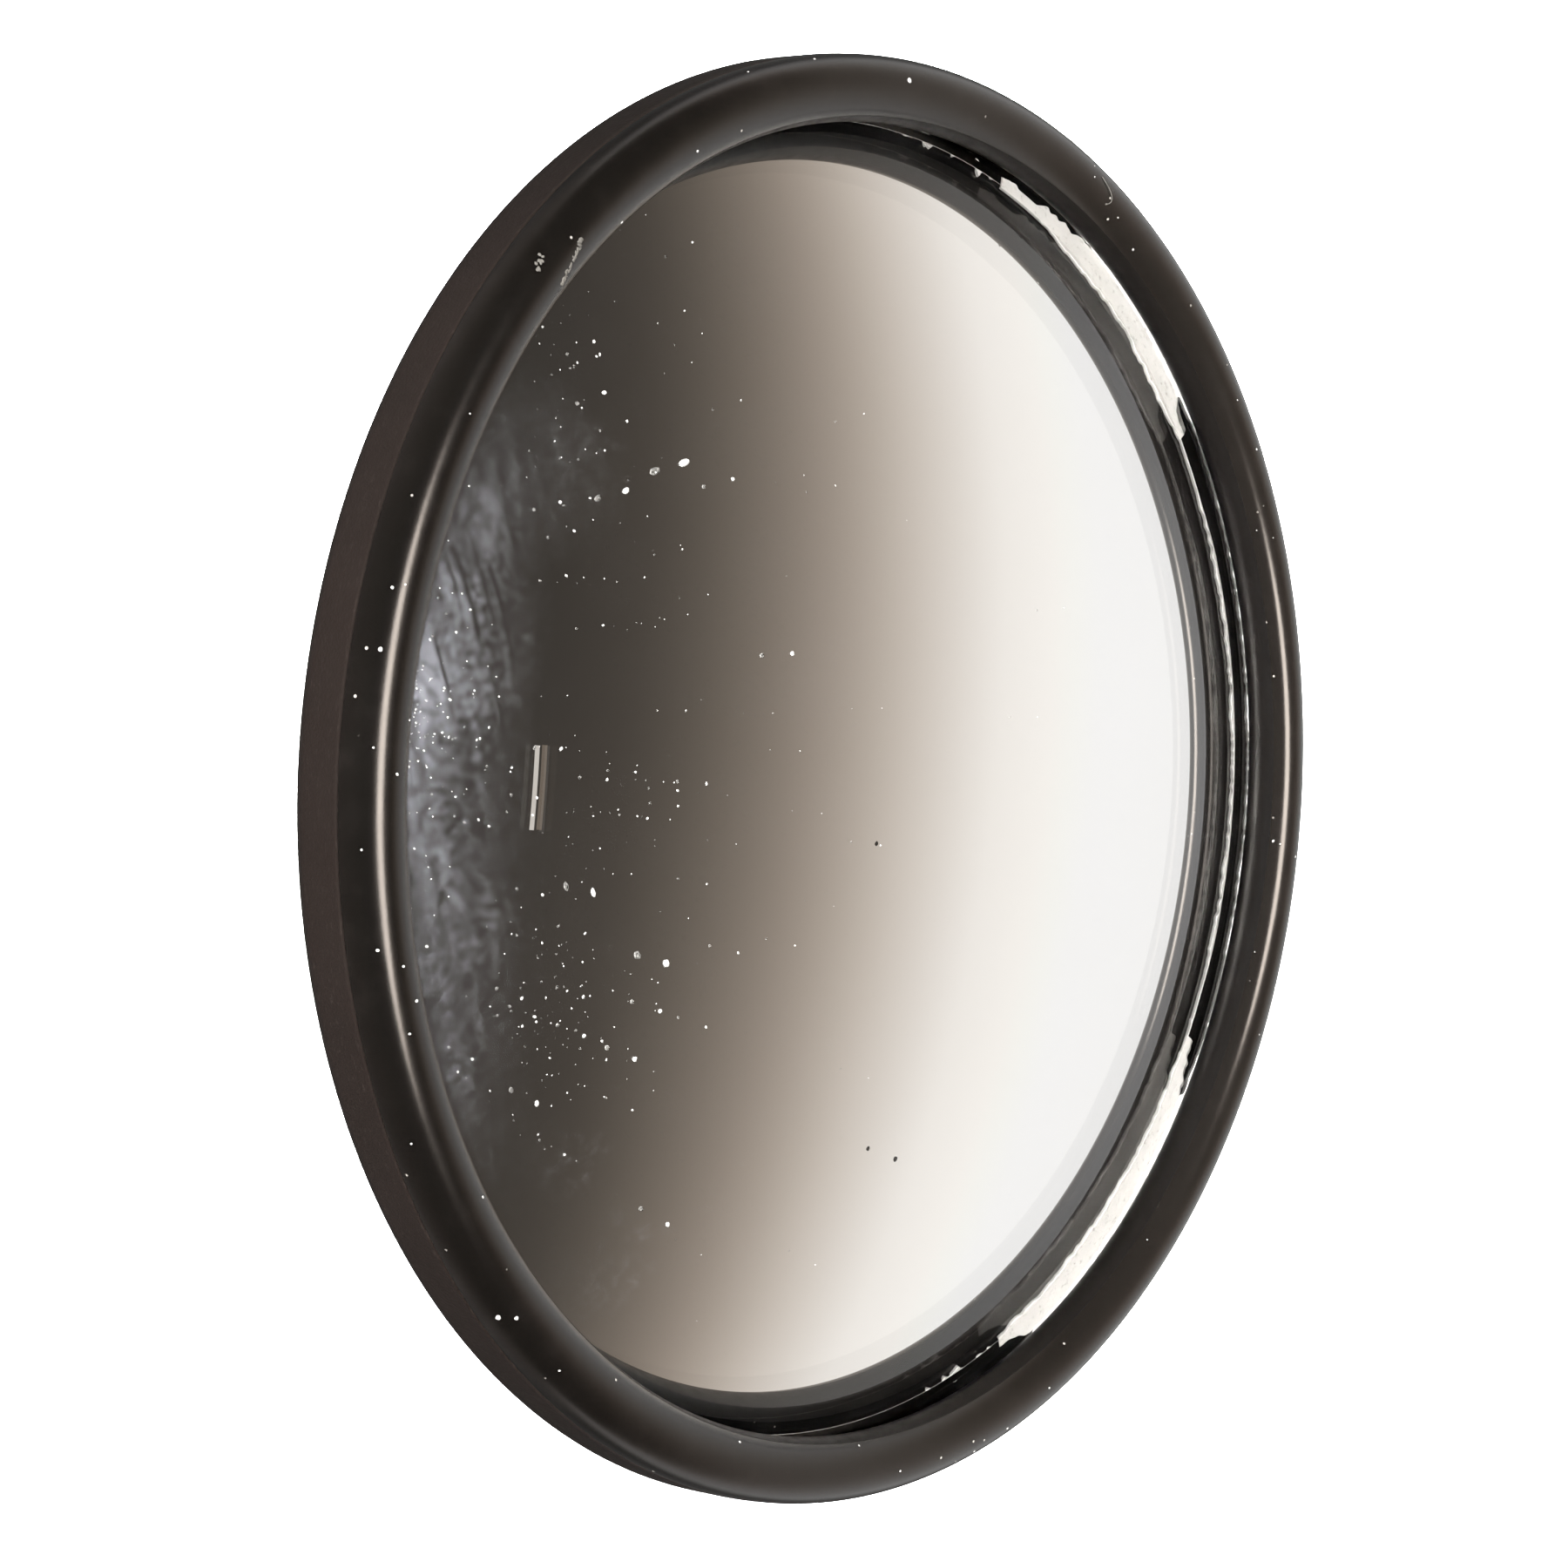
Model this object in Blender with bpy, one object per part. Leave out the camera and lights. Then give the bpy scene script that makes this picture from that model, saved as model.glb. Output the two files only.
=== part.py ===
"""Small stick-on convex security mirror: a round glass in a black pan with a bead rim.

The mirror faces -Y and hangs on the adhesive face on its back. The origin is the centre of
that face, +Z is up, and every turned piece is described by a section: its distance from the
Y axis and its height in front of the mounting face.
"""

import math

import bmesh
import bpy
from mathutils import Matrix, Vector

MM = 0.001
SEGMENTS = 64  # round the Y axis, the same for every turned piece so that their facets line up

# Rim and housing
RIM_RADIUS = 38.0 * MM  # outside of the bead
BEAD_RADIUS = 1.7 * MM
SEAM_HEIGHT = 7.7 * MM  # plane of the bead's centre, where bezel and housing meet
HOUSING_RADIUS = 38.2 * MM
HOUSING_DRAFT = 0.15 * MM  # how much narrower the wall is at the seam
HOUSING_WALL = 2.67 * MM  # from the seam to where the back's bevel starts
HOUSING_DEPTH = 6.9 * MM  # from the seam to the pan's flat back
HOUSING_CORNER = 1.2 * MM  # radius between wall and bevel
BACK_CORNER = 3.0 * MM  # radius between bevel and back
FLOOR_THICKNESS = 1.8 * MM
WALL_THICKNESS = 1.1 * MM
SEAM_GAP = 0.2 * MM
SPIGOT_THICKNESS = 0.5 * MM
SPIGOT_LENGTH = 2.3 * MM

# Glass, silvered on its back
GLASS_RADIUS = 36.0 * MM
GLASS_THICKNESS = 2.0 * MM
GLASS_CURVE = 120.0 * MM  # radius of the front surface
GLASS_EDGE_HEIGHT = 6.0 * MM  # front surface at the glass's edge
GLASS_CHAMFER = 0.3 * MM
COAT_RADIUS = 35.2 * MM
COAT_THICKNESS = 0.2 * MM
COAT_GAP = 0.15 * MM

# Sealant under the bead
BEAD_TO_GLASS = 0.5 * MM
SEALANT_INNER = 35.0 * MM
SEALANT_OUTER = 35.85 * MM
SEALANT_THICKNESS = 0.2 * MM

# What holds the glass from behind
BEDDING_INNER = 32.2 * MM
BEDDING_OUTER = 34.4 * MM
BOSS_INNER = 5.3 * MM
BOSS_OUTER = 7.5 * MM
BOSS_HEIGHT = 7.0 * MM
RIB_COUNT = 6
RIB_THICKNESS = 1.2 * MM
RIB_END = 31.0 * MM
RIB_CLEARANCE = 1.6 * MM  # from the coatings to the ribs
CENTRE_PAD_THICKNESS = 1.15 * MM
DAB_COUNT = 3
DAB_CIRCLE = 20.0 * MM
DAB_RADIUS = 3.0 * MM
DAB_THICKNESS = 1.0 * MM
DAB_BOSS_RADIUS = 3.3 * MM
DAB_BOSS_HEIGHT = 4.9 * MM

# Mounting pad on the back
PAD_RADIUS = 28.0 * MM
FILM_THICKNESS = 0.15 * MM
FOAM_THICKNESS = 0.75 * MM
PAD_GAP = 0.15 * MM
RECESS_CLEARANCE = 0.6 * MM

GAP = 0.3 * MM  # between neighbouring pieces
GLASS_CENTRE = GLASS_EDGE_HEIGHT - math.sqrt(GLASS_CURVE**2 - GLASS_RADIUS**2)
BACK_HEIGHT = SEAM_HEIGHT - HOUSING_DEPTH
FLOOR_HEIGHT = BACK_HEIGHT + FLOOR_THICKNESS
FOAM_BOTTOM = FILM_THICKNESS + PAD_GAP
INNER_FILM_BOTTOM = FOAM_BOTTOM + FOAM_THICKNESS + PAD_GAP
RECESS_HEIGHT = INNER_FILM_BOTTOM + FILM_THICKNESS + PAD_GAP


def clear_scene():
    for old in list(bpy.data.objects):
        bpy.data.objects.remove(old, do_unlink=True)


def material(name, colour, roughness, metallic=0.0, transmission=0.0):
    made = bpy.data.materials.new(name)
    made.use_nodes = True
    shader = made.node_tree.nodes["Principled BSDF"]
    shader.inputs["Base Color"].default_value = (*colour, 1.0)
    shader.inputs["Roughness"].default_value = roughness
    shader.inputs["Metallic"].default_value = metallic
    shader.inputs["Transmission Weight"].default_value = transmission
    return made


def dome_height(curve_radius, distance):
    """Height of a sphere concentric with the glass, at a distance from the axis."""
    return GLASS_CENTRE + math.sqrt(curve_radius**2 - distance**2)


def dome(curve_radius, start, end, steps):
    """Section points along such a sphere, from one distance from the axis to another."""
    distances = [start + (end - start) * i / steps for i in range(steps + 1)]
    return [(d, dome_height(curve_radius, d)) for d in distances]


def arc(centre, radius, start_deg, end_deg, steps):
    """Section points along an arc; 0 degrees points away from the axis and 90 forward."""
    points = []
    for i in range(steps + 1):
        angle = math.radians(start_deg + (end_deg - start_deg) * i / steps)
        points.append((centre[0] + radius * math.cos(angle), centre[1] + radius * math.sin(angle)))
    return points


def add_object(name, mesh_data, finish):
    made = bpy.data.objects.new(name, mesh_data)
    made.data.materials.append(finish)
    bpy.context.scene.collection.objects.link(made)
    return made


def finish_mesh(name, shape, sharp_deg=35):
    bmesh.ops.remove_doubles(shape, verts=shape.verts, dist=1e-7)
    bmesh.ops.recalc_face_normals(shape, faces=shape.faces)
    mesh_data = bpy.data.meshes.new(name)
    shape.to_mesh(mesh_data)
    shape.free()
    mesh_data.shade_smooth()
    mesh_data.set_sharp_from_angle(angle=math.radians(sharp_deg))
    return mesh_data


def turned(name, section, finish, closed=True):
    """A solid of revolution round the Y axis. An open section starts and ends on the axis."""
    shape = bmesh.new()
    verts = [shape.verts.new((distance, -height, 0)) for distance, height in section]
    pairs = list(zip(verts, verts[1:]))
    if closed:
        pairs.append((verts[-1], verts[0]))
    edges = [shape.edges.new(pair) for pair in pairs]
    bmesh.ops.spin(
        shape, geom=verts + edges, axis=(0, 1, 0), cent=(0, 0, 0),
        steps=SEGMENTS, angle=math.tau, use_merge=True,
    )
    return add_object(name, finish_mesh(name, shape), finish)


def disc(name, radius, bottom, top, finish):
    section = [(0, bottom), (radius, bottom), (radius, top), (0, top)]
    return turned(name, section, finish, closed=False)


def post(name, radius, bottom, top, segments, finish):
    """A cylinder along the Y axis, standing between two heights."""
    shape = bmesh.new()
    bmesh.ops.create_cone(
        shape, cap_ends=True, segments=segments, radius1=radius, radius2=radius, depth=top - bottom,
    )
    bmesh.ops.rotate(shape, verts=shape.verts, matrix=Matrix.Rotation(math.pi / 2, 3, "X"))
    bmesh.ops.translate(shape, verts=shape.verts, vec=(0, -(bottom + top) / 2, 0))
    return add_object(name, finish_mesh(name, shape), finish)


def rim_bezel(finish):
    """Round bead whose underside follows the glass, with a spigot that enters the housing."""
    centre = (RIM_RADIUS - BEAD_RADIUS, SEAM_HEIGHT)
    shoulder = SEAM_HEIGHT + SEAM_GAP / 2
    start = math.degrees(math.asin(SEAM_GAP / 2 / BEAD_RADIUS))
    inner_end = 209.5
    section = arc(centre, BEAD_RADIUS, start, inner_end, 14)
    underside = GLASS_CURVE + BEAD_TO_GLASS
    spigot_inner = GLASS_RADIUS + GAP
    spigot_outer = spigot_inner + SPIGOT_THICKNESS
    bottom = SEAM_HEIGHT - SPIGOT_LENGTH
    section += dome(underside, section[-1][0] + GAP, spigot_inner, 2)
    section += [(spigot_inner, bottom), (spigot_outer, bottom), (spigot_outer, shoulder)]
    return turned("rim_bezel", section, finish)


def fillet(before, corner, after, radius, steps):
    """Section points that round the corner between two straight lines."""
    corner = Vector(corner)
    back = (Vector(before) - corner).normalized()
    ahead = (Vector(after) - corner).normalized()
    half = back.angle(ahead) / 2
    centre = corner + (back + ahead).normalized() * (radius / math.sin(half))
    start = corner + back * (radius / math.tan(half)) - centre
    end = corner + ahead * (radius / math.tan(half)) - centre
    turned_by = [start.slerp(end, i / steps) for i in range(steps + 1)]
    return [tuple(centre + direction * radius) for direction in turned_by]


def housing_section():
    """From the middle of the floor over the wall to the middle of the back."""
    top = SEAM_HEIGHT - SEAM_GAP / 2
    edge_round = 0.35 * MM
    edge_radius = HOUSING_RADIUS - HOUSING_DRAFT
    wall_inner = HOUSING_RADIUS - WALL_THICKNESS
    ledge = SEAM_HEIGHT - SPIGOT_LENGTH - GAP
    pocket = GLASS_RADIUS + 0.35 * MM
    bend = (HOUSING_RADIUS, SEAM_HEIGHT - HOUSING_WALL)
    back_bend = (HOUSING_RADIUS - (bend[1] - BACK_HEIGHT), BACK_HEIGHT)
    recess_radius = PAD_RADIUS + RECESS_CLEARANCE
    section = [(0, FLOOR_HEIGHT), (BOSS_INNER, FLOOR_HEIGHT), (BOSS_INNER, BOSS_HEIGHT)]
    section += [(BOSS_OUTER, BOSS_HEIGHT), (BOSS_OUTER, FLOOR_HEIGHT)]
    section += [(34.6 * MM, FLOOR_HEIGHT), (35.55 * MM, 3.4 * MM)]
    section += [(pocket, 4.1 * MM), (pocket, ledge), (wall_inner, ledge), (wall_inner, top)]
    section += arc((edge_radius - edge_round, top - edge_round), edge_round, 90, 0, 3)
    section += fillet(section[-1], bend, back_bend, HOUSING_CORNER, 4)
    section += fillet(bend, back_bend, (0, BACK_HEIGHT), BACK_CORNER, 4)
    section += [(recess_radius, BACK_HEIGHT), (recess_radius, RECESS_HEIGHT), (0, RECESS_HEIGHT)]
    return section


def rib_helper(index, finish):
    """One radial rib on the housing's floor. Its top runs parallel to the glass."""
    curve = GLASS_CURVE - GLASS_THICKNESS - 2 * (COAT_THICKNESS + COAT_GAP) - RIB_CLEARANCE
    sunk = FLOOR_HEIGHT - FLOOR_THICKNESS / 4
    start = (BOSS_INNER + BOSS_OUTER) / 2
    outline = [(start, sunk), (RIB_END, sunk)] + dome(curve, RIB_END, start, 5)
    shape = bmesh.new()
    half = RIB_THICKNESS / 2
    face = shape.faces.new([shape.verts.new((d, -h, -half)) for d, h in outline])
    grown = bmesh.ops.extrude_face_region(shape, geom=[face])
    moved = [item for item in grown["geom"] if isinstance(item, bmesh.types.BMVert)]
    bmesh.ops.translate(shape, verts=moved, vec=(0, 0, RIB_THICKNESS))
    turn = Matrix.Rotation(math.tau * (index + 0.5) / RIB_COUNT, 3, "Y")
    bmesh.ops.rotate(shape, verts=shape.verts, matrix=turn)
    return add_object(f"rib_helper_{index}", finish_mesh("rib", shape), finish)


def dab_angle(index):
    return math.tau * (index / DAB_COUNT + 0.25) + math.pi / RIB_COUNT


def dab_boss_helper(index, finish):
    bottom = FLOOR_HEIGHT - FLOOR_THICKNESS / 4
    boss = post(f"dab_boss_helper_{index}", DAB_BOSS_RADIUS, bottom, DAB_BOSS_HEIGHT, 20, finish)
    angle = dab_angle(index)
    boss.location = (DAB_CIRCLE * math.cos(angle), 0, DAB_CIRCLE * math.sin(angle))
    return boss


def join_to(target, helper):
    helper.hide_render = True
    helper.display_type = "WIRE"
    union = target.modifiers.new(helper.name, "BOOLEAN")
    union.operation = "UNION"
    union.solver = "EXACT"
    union.object = helper


def rear_housing(finish):
    """Round pan with a recess behind for the pad, and ribs and bosses on its floor."""
    housing = turned("rear_housing", housing_section(), finish, closed=False)
    for index in range(RIB_COUNT):
        join_to(housing, rib_helper(index, finish))
    for index in range(DAB_COUNT):
        join_to(housing, dab_boss_helper(index, finish))
    return housing


def mirror_glass(finish):
    front = dome(GLASS_CURVE, 0, GLASS_RADIUS - GLASS_CHAMFER, 6)
    back = dome(GLASS_CURVE - GLASS_THICKNESS, GLASS_RADIUS - GLASS_CHAMFER, 0, 6)
    edge_top = dome_height(GLASS_CURVE, GLASS_RADIUS) - GLASS_CHAMFER
    edge_bottom = dome_height(GLASS_CURVE - GLASS_THICKNESS, GLASS_RADIUS) + GLASS_CHAMFER
    section = front + [(GLASS_RADIUS, edge_top), (GLASS_RADIUS, edge_bottom)] + back
    return turned("mirror_glass", section, finish, closed=False)


def coating(name, depth, finish):
    """A thin shell behind the glass; depth is measured from the glass's back surface."""
    outer = GLASS_CURVE - GLASS_THICKNESS - depth
    section = dome(outer, 0, COAT_RADIUS, 5) + dome(outer - COAT_THICKNESS, COAT_RADIUS, 0, 5)
    return turned(name, section, finish, closed=False)


def edge_sealant(finish):
    low = GLASS_CURVE + (BEAD_TO_GLASS - SEALANT_THICKNESS) / 2
    section = dome(low, SEALANT_INNER, SEALANT_OUTER, 1)
    section += dome(low + SEALANT_THICKNESS, SEALANT_OUTER, SEALANT_INNER, 1)
    return turned("edge_sealant", section, finish)


def coats_back():
    """Radius of the sphere at the back of the paint."""
    return GLASS_CURVE - GLASS_THICKNESS - 2 * (COAT_GAP + COAT_THICKNESS)


def glass_bedding_ring(finish):
    bottom = FLOOR_HEIGHT + SEAM_GAP
    section = [(BEDDING_INNER, bottom), (BEDDING_OUTER, bottom)]
    section += dome(coats_back() - SEAM_GAP, BEDDING_OUTER, BEDDING_INNER, 2)
    return turned("glass_bedding_ring", section, finish)


def centre_adhesive_pad(finish):
    bottom = BOSS_HEIGHT + SEAM_GAP
    return disc("centre_adhesive_pad", BOSS_OUTER, bottom, bottom + CENTRE_PAD_THICKNESS, finish)


def adhesive_dab(index, finish):
    """A round dab that leans with the glass above it."""
    top = coats_back() - GAP
    dab = post(f"adhesive_dab_{index + 1}", DAB_RADIUS, top - DAB_THICKNESS, top, 20, finish)
    around = dab_angle(index)
    lean = math.asin(DAB_CIRCLE / top)
    outward = Vector((math.cos(around), 0, math.sin(around)))
    normal = outward * math.sin(lean) + Vector((0, -1, 0)) * math.cos(lean)
    turn = Vector((0, -1, 0)).rotation_difference(normal).to_matrix().to_4x4()
    dab.data.transform(Matrix.Translation((0, -GLASS_CENTRE, 0)) @ turn)
    return dab


def mounting_pad(foam, film):
    disc("mount_adhesive_film", PAD_RADIUS, 0, FILM_THICKNESS, film)
    disc("mount_foam_pad", PAD_RADIUS, FOAM_BOTTOM, FOAM_BOTTOM + FOAM_THICKNESS, foam)
    top = INNER_FILM_BOTTOM + FILM_THICKNESS
    disc("housing_adhesive_film", PAD_RADIUS, INNER_FILM_BOTTOM, top, film)


def build():
    clear_scene()
    bead_black = material("bead_gloss_black", (0.012, 0.011, 0.010), 0.22)
    pan_black = material("housing_matte_black", (0.030, 0.026, 0.024), 0.55)
    glass = material("mirror_glass_clear", (0.95, 0.97, 0.96), 0.02, transmission=1.0)
    silver = material("silver", (0.90, 0.90, 0.88), 0.05, metallic=1.0)
    paint = material("backing_paint_grey", (0.12, 0.12, 0.13), 0.6)
    sealant = material("sealant_white", (0.75, 0.74, 0.70), 0.45)
    bedding = material("bedding_foam_grey", (0.10, 0.10, 0.10), 0.9)
    silicone = material("silicone_white", (0.70, 0.70, 0.68), 0.4)
    foam = material("pad_foam_black", (0.035, 0.033, 0.032), 0.9)
    film = material("adhesive_film", (0.55, 0.50, 0.40), 0.3)
    rear_housing(pan_black)
    rim_bezel(bead_black)
    mirror_glass(glass)
    coating("silver_coating", COAT_GAP, silver)
    coating("backing_paint", 2 * COAT_GAP + COAT_THICKNESS, paint)
    edge_sealant(sealant)
    glass_bedding_ring(bedding)
    centre_adhesive_pad(bedding)
    for index in range(DAB_COUNT):
        adhesive_dab(index, silicone)
    mounting_pad(foam, film)


build()
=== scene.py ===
"""Looks for the small convex security mirror: fine meshes, materials, dust, camera and light."""

import math
import random

import bmesh
import bpy
from mathutils import Matrix, Quaternion, Vector, noise


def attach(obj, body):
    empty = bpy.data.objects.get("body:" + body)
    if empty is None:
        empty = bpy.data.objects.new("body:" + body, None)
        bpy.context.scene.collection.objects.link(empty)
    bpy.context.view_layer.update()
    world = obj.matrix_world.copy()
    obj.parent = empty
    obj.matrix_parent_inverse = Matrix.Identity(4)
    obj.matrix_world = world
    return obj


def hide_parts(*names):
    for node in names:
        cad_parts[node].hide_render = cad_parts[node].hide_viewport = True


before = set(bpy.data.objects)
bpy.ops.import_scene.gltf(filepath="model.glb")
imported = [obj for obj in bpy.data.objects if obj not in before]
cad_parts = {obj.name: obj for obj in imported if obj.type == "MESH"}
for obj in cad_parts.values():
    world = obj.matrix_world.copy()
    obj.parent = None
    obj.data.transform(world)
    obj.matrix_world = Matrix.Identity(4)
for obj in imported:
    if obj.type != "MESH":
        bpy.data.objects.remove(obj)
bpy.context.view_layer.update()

MM = 0.001
STEPS = 288  # segments of the fine turned pieces

# The CAD model's own dimensions, which the fine pieces keep
RIM_RADIUS = 38.0 * MM
BEAD_RADIUS = 1.7 * MM
SEAM_HEIGHT = 7.7 * MM
SEAM_SHOWN = 0.05 * MM  # the lips of the seam almost touch
HOUSING_RADIUS = 38.2 * MM
BACK_HEIGHT = 0.8 * MM
FLOOR_HEIGHT = 2.6 * MM
GLASS_RADIUS = 36.0 * MM
GLASS_THICKNESS = 2.0 * MM
GLASS_CURVE = 120.0 * MM
GLASS_CENTRE = 6.0 * MM - math.sqrt(GLASS_CURVE**2 - GLASS_RADIUS**2)
GRIND = 0.35 * MM  # bevel of the glass's ground edge
PAD_RADIUS = 28.0 * MM

# The bead's lip, which comes nearer to the glass than the CAD model's
LIP_TURN = 225.0  # degrees of the bead's section at which it ends
LIP_RADIUS = 35.10 * MM
LIP_TO_GLASS = 0.21 * MM
SPIGOT_INNER = 36.3 * MM
SPIGOT_OUTER = 36.8 * MM
SPIGOT_DEPTH = 2.3 * MM
DULL_FROM = 152  # degrees of the bead's section where its dulled inner face begins

# The sealant. Reaches are in mm past the lip, and negative behind it
BAND_REACH = -0.25  # where most was squeezed out
IDLE_REACH = -0.84  # where hardly any shows
RING_OUTER = 35.68  # mm from the axis, where there is little of it
RING_SPREAD = 0.27  # mm further out in the bands
RING_HEIGHT = LIP_TO_GLASS - 0.02 * MM
WETTING = 0.012 * MM  # it lies this far inside the glass, so that no air shows between them
EDGE_COAT = 0.15 * MM  # its thickness on the glass's ground edge
# Where it runs down over that edge: an arc's two ends, and how long each end takes to
# reach its full height, all in degrees round the rim
EDGE_ARCS = ((33.5, 69.8, 7.0, 17.0), (290.5, 330.5, 5.0, 8.0))

# Camera
RING_CENTRE = Vector((0, -SEAM_HEIGHT, 0))
CAMERA_AZIMUTH = -49.84
CAMERA_ELEVATION = 3.94
CAMERA_DISTANCE = 0.152
CAMERA_PAN = 2.37
LENS = 65.45


# ---------------------------------------------------------------- geometry helpers


def dome_height(curve, distance):
    """Height of a sphere concentric with the glass, at a distance from the axis."""
    return GLASS_CENTRE + math.sqrt(curve**2 - distance**2)


def dome(curve, start, end, steps):
    distances = [start + (end - start) * i / steps for i in range(steps + 1)]
    return [(d, dome_height(curve, d)) for d in distances]


def arc(centre, radius, start_deg, end_deg, steps):
    points = []
    for i in range(steps + 1):
        angle = math.radians(start_deg + (end_deg - start_deg) * i / steps)
        points.append((centre[0] + radius * math.cos(angle), centre[1] + radius * math.sin(angle)))
    return points


def fillet(before, corner, after, radius, steps):
    corner = Vector(corner)
    back = (Vector(before) - corner).normalized()
    ahead = (Vector(after) - corner).normalized()
    half = back.angle(ahead) / 2
    centre = corner + (back + ahead).normalized() * (radius / math.sin(half))
    start = (corner + back * (radius / math.tan(half)) - centre).normalized()
    end = (corner + ahead * (radius / math.tan(half)) - centre).normalized()
    return [tuple(centre + start.slerp(end, i / steps) * radius) for i in range(steps + 1)]


def turn_rings(section_at, steps, closed, count):
    """Vertices and faces of a turned surface. section_at(angle) gives the section there."""
    verts, rings = [], [[] for _ in range(count)]
    for j in range(steps):
        angle = math.tau * j / steps
        for i, (distance, height) in enumerate(section_at(angle)):
            if distance < 1e-8 and rings[i]:
                continue
            rings[i].append(len(verts))
            verts.append((distance * math.cos(angle), -height, distance * math.sin(angle)))
    pairs = list(zip(rings, rings[1:]))
    if closed:
        pairs.append((rings[-1], rings[0]))
    faces = []
    for near, far in pairs:
        for j in range(steps):
            k = (j + 1) % steps
            corners = [near[j % len(near)], far[j % len(far)], far[k % len(far)], near[k % len(near)]]
            faces.append(tuple(dict.fromkeys(corners)))
    return verts, [face for face in faces if len(face) > 2]


def add_piece(name, verts, faces, finish, replaces=(), sharp_deg=35):
    mesh = bpy.data.meshes.new(name)
    mesh.from_pydata(verts, [], faces)
    shape = bmesh.new()
    shape.from_mesh(mesh)
    bmesh.ops.recalc_face_normals(shape, faces=shape.faces)
    shape.to_mesh(mesh)
    shape.free()
    mesh.shade_smooth()
    mesh.set_sharp_from_angle(angle=math.radians(sharp_deg))
    mesh.materials.append(finish)
    piece = bpy.data.objects.new(name, mesh)
    bpy.context.scene.collection.objects.link(piece)
    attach(piece, "root")
    if replaces:
        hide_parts(*replaces)
    return piece


def mesh_piece(name, shape, finish, replaces=(), sharp_deg=180):
    shape.verts.index_update()
    verts = [tuple(v.co) for v in shape.verts]
    faces = [tuple(v.index for v in f.verts) for f in shape.faces]
    shape.free()
    return add_piece(name, verts, faces, finish, replaces, sharp_deg)


def turned(name, section, finish, replaces=(), closed=True, steps=STEPS, sharp_deg=35):
    verts, faces = turn_rings(lambda angle: section, steps, closed, len(section))
    return add_piece(name, verts, faces, finish, replaces, sharp_deg)


def wobble(angle, period_mm, seed, radius=LIP_RADIUS):
    """Smooth noise round the rim, from about -1 to 1, with features about one period long."""
    k = radius / (period_mm * MM)
    return noise.noise(Vector((math.cos(angle) * k, math.sin(angle) * k, seed * 7.3))) * 1.6


def smoothstep(low, high, value):
    t = min(1.0, max(0.0, (value - low) / (high - low)))
    return t * t * (3 - 2 * t)


# ---------------------------------------------------------------- material helpers


class Nodes:
    """A node tree and short calls for its nodes."""

    def __init__(self, tree):
        self.tree = tree

    def node(self, kind, **settings):
        made = self.tree.nodes.new(kind)
        for key, value in settings.items():
            setattr(made, key, value)
        return made

    def feed(self, socket, value):
        if isinstance(value, bpy.types.NodeSocket):
            self.tree.links.new(value, socket)
        elif isinstance(value, tuple) and len(value) == 3 and socket.type == "RGBA":
            socket.default_value = (*value, 1.0)
        else:
            socket.default_value = value

    def math(self, operation, a, b=0.0, c=0.0, clamp=False):
        made = self.node("ShaderNodeMath", operation=operation, use_clamp=clamp)
        for socket, value in zip(made.inputs, (a, b, c)):
            self.feed(socket, value)
        return made.outputs[0]

    def range(self, value, low, high, to_low=0.0, to_high=1.0):
        made = self.node("ShaderNodeMapRange")
        names = ("Value", "From Min", "From Max", "To Min", "To Max")
        for key, number in zip(names, (value, low, high, to_low, to_high)):
            self.feed(made.inputs[key], number)
        return made.outputs[0]


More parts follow.
